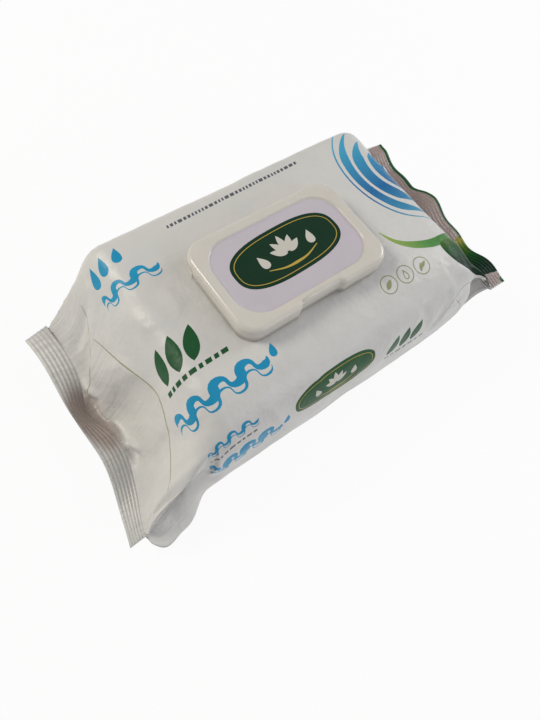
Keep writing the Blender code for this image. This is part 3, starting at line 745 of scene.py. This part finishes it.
def node(tree, kind, values=None, **settings):
    made = tree.nodes.new(kind)
    for key, value in settings.items():
        setattr(made, key, value)
    feed(tree, made, values or {})
    return made


def place(tree, scale):
    """Object coordinates times a scale."""
    coordinates = node(tree, "ShaderNodeTexCoord").outputs["Object"]
    return node(tree, "ShaderNodeMapping", {"Vector": coordinates, "Scale": scale}).outputs["Vector"]


def grain(tree, scale, detail=3.0, stretch=(1, 1, 1)):
    """Noise of that scale per metre."""
    values = {"Vector": place(tree, stretch), "Scale": scale, "Detail": detail}
    return node(tree, "ShaderNodeTexNoise", values).outputs["Fac"]


def drifting(tree, low, high, scale):
    """Value between low and high that follows a noise."""
    values = {"Value": grain(tree, scale), "From Min": 0.3, "From Max": 0.7, "To Min": low, "To Max": high}
    return node(tree, "ShaderNodeMapRange", values).outputs["Result"]


def blended(tree, share, a, b):
    """Colour between two colours."""
    return node(tree, "ShaderNodeMix", {"Factor": share, "A": a, "B": b}, data_type="RGBA").outputs["Result"]


def tinted(tree, bsdf, colour, other, scale):
    """Base colour that drifts between two near colours."""
    share = drifting(tree, 0.0, 1.0, scale)
    feed(tree, bsdf, {"Base Color": blended(tree, share, (*colour, 1), (*other, 1))})


def bumps(tree, bsdf, *layers):
    """Bumps laid over one another, each as height, strength and distance."""
    normal = {}
    for height, strength, distance in layers:
        values = {"Height": height, "Strength": strength, "Distance": distance, **normal}
        normal = {"Normal": node(tree, "ShaderNodeBump", values).outputs["Normal"]}
    feed(tree, bsdf, normal)


def linear(r, g, b):
    """sRGB bytes as a linear colour."""
    return tuple(((c / 255 + 0.055) / 1.055) ** 2.4 if c > 10 else c / 255 / 12.92 for c in (r, g, b))


def flat_place(tree):
    """Flat coordinates of the film, in metres."""
    return node(tree, "ShaderNodeUVMap", uv_map="flat").outputs["UV"]


def end_wrinkles(tree):
    """Height of the fine parallel wrinkles that run from the end seals into the film."""
    uv = flat_place(tree)
    drawn_out = node(tree, "ShaderNodeVectorMath", {0: uv, 1: (38, 360, 0)}, operation="MULTIPLY")
    wrinkles = node(tree, "ShaderNodeTexNoise", {"Vector": drawn_out.outputs[0], "Scale": 1.0, "Detail": 2.0,
                                                 "Roughness": 0.5, "Distortion": 0.5})
    along = node(tree, "ShaderNodeSeparateXYZ", {0: uv}).outputs["X"]
    reach = node(tree, "ShaderNodeMath", {0: along}, operation="ABSOLUTE").outputs[0]
    share = node(tree, "ShaderNodeMapRange", {"Value": reach, "From Min": 0.076, "From Max": 0.106},
                 interpolation_type="SMOOTHSTEP")
    height = node(tree, "ShaderNodeMath", {0: share.outputs[0], 1: wrinkles.outputs[0]}, operation="MULTIPLY")
    return height.outputs[0]


def film_finish(tree, bsdf, roughness, specular):
    """Semi-gloss film: wrinkles at its ends, fine crinkles of three sizes and patches of duller surface."""
    feed(tree, bsdf, {"Roughness": drifting(tree, roughness - 0.06, roughness + 0.1, 60),
                      "Specular IOR Level": specular})
    bumps(tree, bsdf, (end_wrinkles(tree), 0.35, 0.0017), (grain(tree, 120, 2), 0.35, 0.0016),
          (grain(tree, 300, 1), 0.35, 0.0006), (grain(tree, 700, 4), 0.35, 0.00022))


def film_material(name, colour, other=None, roughness=0.36, specular=0.25):
    mat, tree, bsdf = new_material(name)
    colour = linear(*colour)
    tinted(tree, bsdf, colour, linear(*other) if other else tuple(c * 0.93 for c in colour), 45)
    film_finish(tree, bsdf, roughness, specular)
    return mat


def doubled_film_and_painted_shade_patch(mat, centre, reach, colour):
    """Darkens the film round a flat point in mm: painted shade of a hollow, and the film lying doubled there
    with the print inside showing through.
    """
    tree = mat.node_tree
    bsdf = tree.nodes["Principled BSDF"]
    base = bsdf.inputs["Base Color"].links[0].from_socket
    offset = node(tree, "ShaderNodeVectorMath", {0: flat_place(tree), 1: (centre[0] * MM, centre[1] * MM, 0)},
                  operation="SUBTRACT")
    share = node(tree, "ShaderNodeVectorMath", {0: offset.outputs[0], 1: (reach[0] * MM, reach[1] * MM, 1)},
                 operation="DIVIDE")
    away = node(tree, "ShaderNodeVectorMath", {0: share.outputs[0]}, operation="LENGTH")
    fade = node(tree, "ShaderNodeMapRange", {"Value": away.outputs["Value"], "From Min": 0.55, "From Max": 1.05,
                                             "To Min": 1.0, "To Max": 0.0}, interpolation_type="SMOOTHSTEP")
    feed(tree, bsdf, {"Base Color": blended(tree, fade.outputs["Result"], base, (*linear(*colour), 1))})


def graded_film_material(name, stops, direction, specular=0.25):
    """Ink that grades along a direction of the flat film. Stops are (place in mm, sRGB)."""
    mat, tree, bsdf = new_material(name)
    along = node(tree, "ShaderNodeVectorMath", {0: flat_place(tree), 1: (*direction, 0)},
                 operation="DOT_PRODUCT")
    low, high = stops[0][0], stops[-1][0]
    span = node(tree, "ShaderNodeMapRange", {"Value": along.outputs["Value"], "From Min": low * MM,
                                             "From Max": high * MM})
    ramp = node(tree, "ShaderNodeValToRGB", {"Fac": span.outputs["Result"]})
    elements = ramp.color_ramp.elements
    for k, (at, colour) in enumerate(stops):
        element = elements[k] if k < 2 else elements.new(1.0)
        element.position = (at - low) / (high - low)
        element.color = (*linear(*colour), 1)
    feed(tree, bsdf, {"Base Color": ramp.outputs["Color"]})
    film_finish(tree, bsdf, 0.36, specular)
    return mat


def plastic_material(name, colour, roughness, strength):
    mat, tree, bsdf = new_material(name)
    colour = linear(*colour)
    tinted(tree, bsdf, colour, tuple(c * 0.96 for c in colour), 70)
    feed(tree, bsdf, {"Roughness": drifting(tree, roughness - 0.04, roughness + 0.06, 120),
                      "Subsurface Weight": 0.12, "Subsurface Scale": 0.002,
                      "Subsurface Radius": (1.0, 0.9, 0.8)})
    bumps(tree, bsdf, (grain(tree, 1800, 2), strength, 0.0001))
    return mat


film_inks = [  # in the order of INKS
    film_material("printed_film_white", (212, 210, 205), (206, 205, 201), 0.4, 0.5),
    film_material("ink_blue", (26, 138, 180), (40, 150, 190)),
    film_material("ink_green", (30, 84, 46)),
    film_material("ink_label_green", (18, 52, 34), roughness=0.3),
    film_material("ink_gold", (190, 164, 74)),
    film_material("ink_cream", (206, 202, 192)),
    film_material("ink_grey", (96, 96, 104)),
    film_material("ink_olive", (150, 152, 112)),
    graded_film_material("ink_ripple", [(-24, (150, 196, 190)), (-4, (60, 140, 176)), (14, (34, 104, 158)),
                                        (44, (66, 160, 196))], (0.0, 1.0)),
    graded_film_material("ink_leaf_green", [(48, (150, 172, 88)), (66, (84, 142, 74)), (96, (60, 104, 52)),
                                            (112, (150, 160, 60))], (1.0, 0.0), 0.15),
    graded_film_material("ink_dark_green", [(-42, (14, 44, 28)), (-33, (26, 80, 34)), (-26, (80, 112, 42)),
                                            (-22, (150, 146, 62))], (0.0, 1.0), 0.1),
    # Mauve tint of the right seal, darkened as painted shade
    film_material("ink_mauve_and_painted_shade", (168, 152, 146), (150, 134, 130)),
]
# Painted shade in the hollow by the middle of the left seal, where the film also lies doubled
doubled_film_and_painted_shade_patch(film_inks[0], (-112.5, 4), (11, 25), (166, 153, 146))


# Film bag

def grid_lines():
    """Rows and columns of the film's net in mm, closer together where the film falls steeply or is crimped."""
    past_edge = PACK_HALF + 0.02 * SEAL_WIDTH  # there the two layers of the seal meet
    slope_left, slope_right = (SEAL_START - 0.013 * (SEAL_START - start)
                               for start in (-STACK_LEFT, STACK_RIGHT))
    rows = np.concatenate([
        [-past_edge], -np.linspace(PACK_HALF, SEAL_START, 37), -np.linspace(slope_left, -STACK_LEFT, 44),
        np.linspace(STACK_LEFT, STACK_RIGHT, 92)[1:-1],
        np.linspace(STACK_RIGHT, slope_right, 38), np.linspace(SEAL_START, PACK_HALF, 37), [past_edge]])
    tuck = 0.166
    side = np.concatenate([np.linspace(UNDER_EDGE, tuck, 14)[1:], np.linspace(tuck, GIRTH_HALF, 20)[1:]])
    return rows * 1000, np.concatenate([-side[::-1], np.linspace(-UNDER_EDGE, UNDER_EDGE, 169), side]) * 1000


def outward(u, v):
    """Unit normals of the film, out of the bag."""
    normals = on_film(NORMAL, u, v)
    normals /= np.maximum(np.linalg.norm(normals, axis=1, keepdims=True), 1e-9)
    on_top = np.argmin(np.hypot(u - 0.06, v))
    return normals if normals[on_top, 2] > 0 else -normals


def sunk(points, u, v, flat):
    """The film with its creases, facets and crinkles."""
    short_of_seal = SEAL_START - np.abs(u)
    beside_lid = np.maximum(np.abs(u - LID_X) - LID_LENGTH / 2, np.abs(v - LID_Y) - LID_WIDTH / 2)
    under = smooth((np.abs(v) - 0.118) / 0.01)
    height = (relief(points) - facet_depth(flat) * MM) * smooth(short_of_seal / 0.0025)
    height += crinkle(points) * smooth(short_of_seal / 0.008)
    height *= smooth((beside_lid - 0.001) / 0.010) * (1 - 0.85 * under)
    # The upper film doesn't sink through the film of the underside.
    across = np.minimum(np.abs(points[:, 1]), 0.054)
    beneath = on_film(NET, u, np.where(points[:, 1] < 0, -1, 1) * (GIRTH_HALF - across))
    room = np.maximum(points[:, 2] - beneath[:, 2] - 0.9 * MM, 0)
    height = np.where(np.abs(v) < 0.075, np.maximum(height, -room), height)
    return points + outward(u, v) * height[:, None]


def length_seal(points, u, v):
    """How far the film of the underside stands off its length seal, a flat strip with fine ribs along it."""
    strip = smooth((np.abs(points[:, 1] + 0.004) - 0.0055) / 0.0008)
    ribs = 0.5 + 0.5 * np.cos(points[:, 1] * 2 * math.pi / 0.0022)
    underside = smooth((np.abs(v) - 0.128) / 0.006) * smooth((0.106 - np.abs(u)) / 0.006)
    return 0.5 * MM * (strip + (1 - strip) * 0.18 * ribs) * underside


OPENING_GAP = 0.6 * MM
opening = stadium(OPENING_LENGTH + OPENING_GAP, OPENING_WIDTH + OPENING_GAP) * 1000
flat, faces, ink = inked_net(*grid_lines(), film_print(), holes=[opening])
u, v = flat.T * MM
points = sunk(on_film(NET, u, v), u, v, flat)
points += end_waves(points, u)
points[:, 2] = np.maximum(points[:, 2] + length_seal(points, u, v), 0.0)
film = add_mesh("film_bag", points, faces, np.stack([u, v], axis=1), ink, film_inks)
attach(film, "pack")
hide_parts("film_pouch")

# Lid

def weld(obj, distance, sharp):
    """Joins points that coincide, turns the faces outwards and marks edges over that many degrees sharp."""
    bm = bmesh.new()
    bm.from_mesh(obj.data)
    bmesh.ops.remove_doubles(bm, verts=bm.verts, dist=distance)
    bmesh.ops.recalc_face_normals(bm, faces=bm.faces)
    if max(bm.faces, key=lambda f: f.calc_center_median().z).normal.z < 0:
        bmesh.ops.reverse_faces(bm, faces=bm.faces)
    bm.to_mesh(obj.data)
    bm.free()
    obj.data.set_sharp_from_angle(angle=math.radians(sharp))


def at_height(outline, z):
    return np.column_stack([outline, np.broadcast_to(z, len(outline))])


rim_plastic = plastic_material("lid_rim_plastic", (212, 207, 197), 0.22, 0.15)
panel_plastic = plastic_material("lid_panel_plastic", (198, 191, 198), 0.42, 0.35)
lid_top, skirt_z = FILM_TOP + LID_HEIGHT, FILM_TOP + 2 * CLEAR
panel_z = lid_top - PANEL_SINK
rim_z = lid_top - RIM_ROUND
panel_inset = RIM_ROUND + BORDER_WIDTH

# Skirt, which is shorter over the hinge's land, then the round of the rim, then the border down to the panel
skirt = lid_outline(0.0)
skirt_low = np.where(skirt[:, 1] > HINGE_Y - LAND_LENGTH, HINGE_Z + CLEAR / 2, skirt_z)
rings = [at_height(skirt, mix(skirt_low, rim_z, share)) for share in (0.0, 0.5, 1.0)]
for angle in np.linspace(0, math.pi / 2, 9)[1:]:
    rings.append(at_height(lid_outline(RIM_ROUND * (1 - math.cos(angle))), rim_z + RIM_ROUND * math.sin(angle)))
for t in (0.12, 0.25, 0.4, 0.55, 0.7, 0.8, 0.86, 0.9, 0.94, 0.97, 1.0):
    corner = mix(LID_CORNER - RIM_ROUND, PANEL_CORNER, smooth(t * 1.1))
    sink = 0.45 * t ** 1.5 + 0.55 * smooth((t - 0.84) / 0.16)
    outline = lid_outline(mix(RIM_ROUND, panel_inset, t), corner, NOTCH_DEPTH * (1 - smooth(t * 1.6)))
    rings.append(at_height(outline, lid_top - PANEL_SINK * sink))
lid_points, lid_faces = skin(rings)

# Panel, slightly crowned, with its label
LABEL_GRID, CROWN = 1.7, 0.25 * MM
flat, faces, ink = inked_net(np.arange(-40, 40, LABEL_GRID), np.arange(-26, 30, LABEL_GRID),
                             emblem((-2.4, 3.2), 58, 26, 2), keep=rings[-1][:, :2] * 1000)
x, y = flat.T * MM
reach = np.hypot((x - LID_X) / (LID_LENGTH / 2 - panel_inset), (y - LID_Y) / (LID_WIDTH / 2 - panel_inset))
panel_points = at_height(flat * MM, panel_z + CROWN * (1 - smooth(reach)))
lid_ink = [0] * len(lid_faces) + [i + 1 for i in ink]
lid_faces += [tuple(face) for face in faces + len(lid_points)]
lid_slots = [rim_plastic, panel_plastic] + film_inks[1:6]
# The wall's inner side takes the last slot, so the label doesn't show there.
lid = add_mesh("flip_lid_shell", np.concatenate([lid_points, panel_points]), lid_faces, None, lid_ink,
               lid_slots + [rim_plastic])
weld(lid, 0.03 * MM, 50)
solid = lid.modifiers.new("wall", "SOLIDIFY")
solid.thickness, solid.offset, solid.use_even_offset = WALL, -1.0, True
solid.material_offset, solid.material_offset_rim = len(lid.data.materials), 0

# Ring under the lid that plugs the opening's collar
plug_length, plug_width = (size + 2 * (LEDGE - 1.3 * CLEAR) for size in (OPENING_LENGTH, OPENING_WIDTH))
outer, hollow = stadium(plug_length, plug_width), stadium(plug_length - 2 * WALL, plug_width - 2 * WALL)
low, high = FILM_TOP + CLEAR + FLANGE_THICK + COLLAR_HEIGHT - PLUG_DEPTH, panel_z - WALL / 2
lead_in = mix(outer, np.array((LID_X, LID_Y)), 0.006)
walls = [(outer, high), (outer, low + 0.3 * MM), (lead_in, low), (hollow, low), (hollow, high)]
plug_rings = [at_height(outline, z) for outline, z in walls]
plug = add_mesh("lid_plug_ring", *skin(plug_rings), materials=[panel_plastic])
plug.data.set_sharp_from_angle(angle=math.radians(40))
for piece in (lid, plug):
    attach(piece, "lid")
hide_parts("flip_lid")

# The thin web that the lid turns on
web_half, web_round, web_steps = LID_LENGTH / 2 - LID_CORNER - MM, 0.45 * MM, 24
turn = np.linspace(0, 2 * math.pi, 12, endpoint=False)
web_rings = []
for k in range(web_steps + 1):
    size = web_round * (0.35 if k in (0, web_steps) else 1.0)
    x = np.full(len(turn), LID_X + mix(-web_half, web_half, k / web_steps))
    y, z = HINGE_Y - 0.25 * MM + size * np.cos(turn), HINGE_Z + size * 1.6 * np.sin(turn)
    web_rings.append(np.stack([x, y, z], axis=1))
web = add_mesh("lid_hinge_web", *skin(web_rings), materials=[rim_plastic])
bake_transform(web)

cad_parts["lid_frame"].data.materials.clear()
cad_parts["lid_frame"].data.materials.append(rim_plastic)

# Wipes

wipes, tree, bsdf = new_material("moist_nonwoven")
tinted(tree, bsdf, linear(222, 224, 224), linear(210, 213, 214), 160)
feed(tree, bsdf, {"Sheen Weight": 0.25, "Sheen Roughness": 0.5, "Subsurface Weight": 0.15,
                  "Subsurface Scale": 0.001, "Roughness": drifting(tree, 0.55, 0.8, 220)})
cells = node(tree, "ShaderNodeTexVoronoi", {"Vector": place(tree, (1, 1.6, 1)), "Scale": 620.0,
                                            "Randomness": 0.25})
bumps(tree, bsdf, (cells.outputs["Distance"], 0.5, 0.00025), (grain(tree, 2600, 4, (1, 0.25, 1)), 0.4, 0.00012))

# The stack fills the bag, under the film. Its net is fine where the opening shows it.
rows = np.concatenate([np.linspace(STACK_LEFT, -0.036, 9)[:-1], np.linspace(-0.036, 0.031, 84),
                       np.linspace(0.031, STACK_RIGHT, 11)[1:]])
columns = np.concatenate([np.linspace(-GIRTH_HALF, -0.02, 44)[:-1], np.linspace(-0.02, 0.022, 60),
                          np.linspace(0.022, GIRTH_HALF, 44)[1:]])
u, v = np.stack(np.meshgrid(rows, columns, indexing="ij"), axis=-1).reshape(-1, 2).T
shell = on_film(NET, u, v) - outward(u, v) * (FILM + CLEAR)
# Through the opening: the pinched-up fold of the next wipe, the edges of two layers and soft ripples
x, y = u - LID_X, v - LID_Y
window = 1 - smooth((np.hypot(x / 0.034, y / 0.019) - 0.75) / 0.3)
bend = 1.8 * MM * np.sin(u * 95) + 0.8 * MM * np.sin(u * 260 + 1)
away = np.abs(y - bend)
ridge = 4.6 * MM * np.exp(-(away / 0.0022) ** 1.3) + 1.2 * MM * bell(away, 0.008)
ridge *= np.clip(1 - (x / 0.023) ** 2, 0, 1) ** 0.7
layers = 0.35 * MM * np.tanh((y + 7 * MM + 0.4 * bend) / (0.25 * MM))
layers += 0.3 * MM * np.tanh((y - 9 * MM - 0.5 * bend) / (0.3 * MM))
ripples = np.array([noise.noise(Vector((a * 120, b * 300, 3)))
                    + 0.5 * noise.noise(Vector((a * 420, b * 640, 1)))
                    for a, b in zip(u, v)]) * 0.5 * MM
on_top = smooth((0.04 - np.abs(v)) / 0.01)
shell[:, 2] += np.minimum((ridge + layers + ripples - 0.2 * MM) * window * on_top, 5.6 * MM)
shell += end_waves(shell, u)
across = len(columns)
faces = [(a + b, a + b + 1, a + across + b + 1, a + across + b)
         for a in range(0, len(u) - across, across) for b in range(across - 1)]
ends = [list(range(across - 1)), list(range(len(u) - across, len(u) - 1))[::-1]]
stack = add_mesh("folded_wipes", shell, faces + ends, materials=[wipes])
weld(stack, 0.005 * MM, 60)
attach(stack, "pack")
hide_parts("wipes_stack")

# Studio


def shown_white(tree, output, plain, white, other_ray, share=1.0):
    """Shows a white to the camera and to one other kind of ray, and lights the pack by the plain shader."""
    rays = node(tree, "ShaderNodeLightPath").outputs
    seen = node(tree, "ShaderNodeMath", {0: rays["Is Camera Ray"], 1: rays[other_ray]}, operation="MAXIMUM")
    part = node(tree, "ShaderNodeMath", {0: seen.outputs[0], 1: share}, operation="MULTIPLY")
    both = node(tree, "ShaderNodeMixShader", {0: part.outputs[0], 1: plain.outputs[0], 2: white.outputs[0]})
    feed(tree, tree.nodes[output], {"Surface": both.outputs["Shader"]})


floor_mat, tree, bsdf = new_material("studio_floor")
shade = drifting(tree, 0.82, 0.84, 3)
grey = node(tree, "ShaderNodeCombineColor", {"Red": shade, "Green": shade, "Blue": shade})
feed(tree, bsdf, {"Base Color": grey.outputs["Color"], "Roughness": 0.9})
glow = node(tree, "ShaderNodeEmission", {"Color": (1, 1, 1, 1), "Strength": 1.0})
shown_white(tree, "Material Output", bsdf, glow, "Is Glossy Ray", 0.92)
FLOOR_HALF, FLOOR_Z = 3, -0.2 * MM
corners = [(x * FLOOR_HALF, y * FLOOR_HALF, FLOOR_Z) for x, y in ((-1, -1), (1, -1), (1, 1), (-1, 1))]
add_mesh("floor", corners, [(0, 1, 2, 3)], materials=[floor_mat])

world = bpy.data.worlds.new("studio")
bpy.context.scene.world = world
world.use_nodes = True
tree = world.node_tree
background = tree.nodes["Background"]
feed(tree, background, {"Color": (*linear(226, 226, 232), 1), "Strength": 0.42})
white = node(tree, "ShaderNodeBackground", {"Color": (1, 1, 1, 1), "Strength": 1.0})
shown_white(tree, "World Output", background, white, "Is Transmission Ray")


def area_light(name, place_at, size, power, colour):
    """Round light aimed at the middle of the pack."""
    light = bpy.data.lights.new(name, "AREA")
    light.shape, light.size, light.energy, light.color = "DISK", size, power, colour
    obj = bpy.data.objects.new(name, light)
    obj.location = place_at
    obj.rotation_euler = (Vector((0, 0, 0.04)) - Vector(place_at)).to_track_quat("-Z", "Y").to_euler()
    bpy.context.scene.collection.objects.link(obj)


area_light("key", (-0.75, 0.65, 0.85), 0.5, 9.0, (1.0, 0.96, 0.86))
area_light("front", (0.4, -1.0, 0.55), 0.55, 2.8, (0.97, 0.98, 1.0))
area_light("side", (1.0, -0.1, 0.5), 0.5, 4.5, (0.96, 0.98, 1.0))

# The camera that was solved from the photograph. Its focal length is in pixels of a picture 720 high.
FOCAL, PICTURE_HEIGHT = 556, 720
camera = bpy.data.cameras.new("camera")
camera.sensor_fit, camera.sensor_height, camera.sensor_width = "VERTICAL", 36, 27
camera.lens = FOCAL * camera.sensor_height / PICTURE_HEIGHT
camera.clip_start = 0.01
camera_object = bpy.data.objects.new("camera", camera)
camera_object.matrix_world = Matrix.Translation((-0.119915, -0.096021, 0.281141)) @ Matrix((
    (0.79715422, -0.58798324, 0.13718913), (0.49237247, 0.76457504, 0.4159259),
    (-0.34944885, -0.26400893, 0.89899098))).transposed().to_4x4()
bpy.context.scene.collection.objects.link(camera_object)
bpy.context.scene.camera = camera_object
bpy.context.scene.view_settings.view_transform = "Standard"
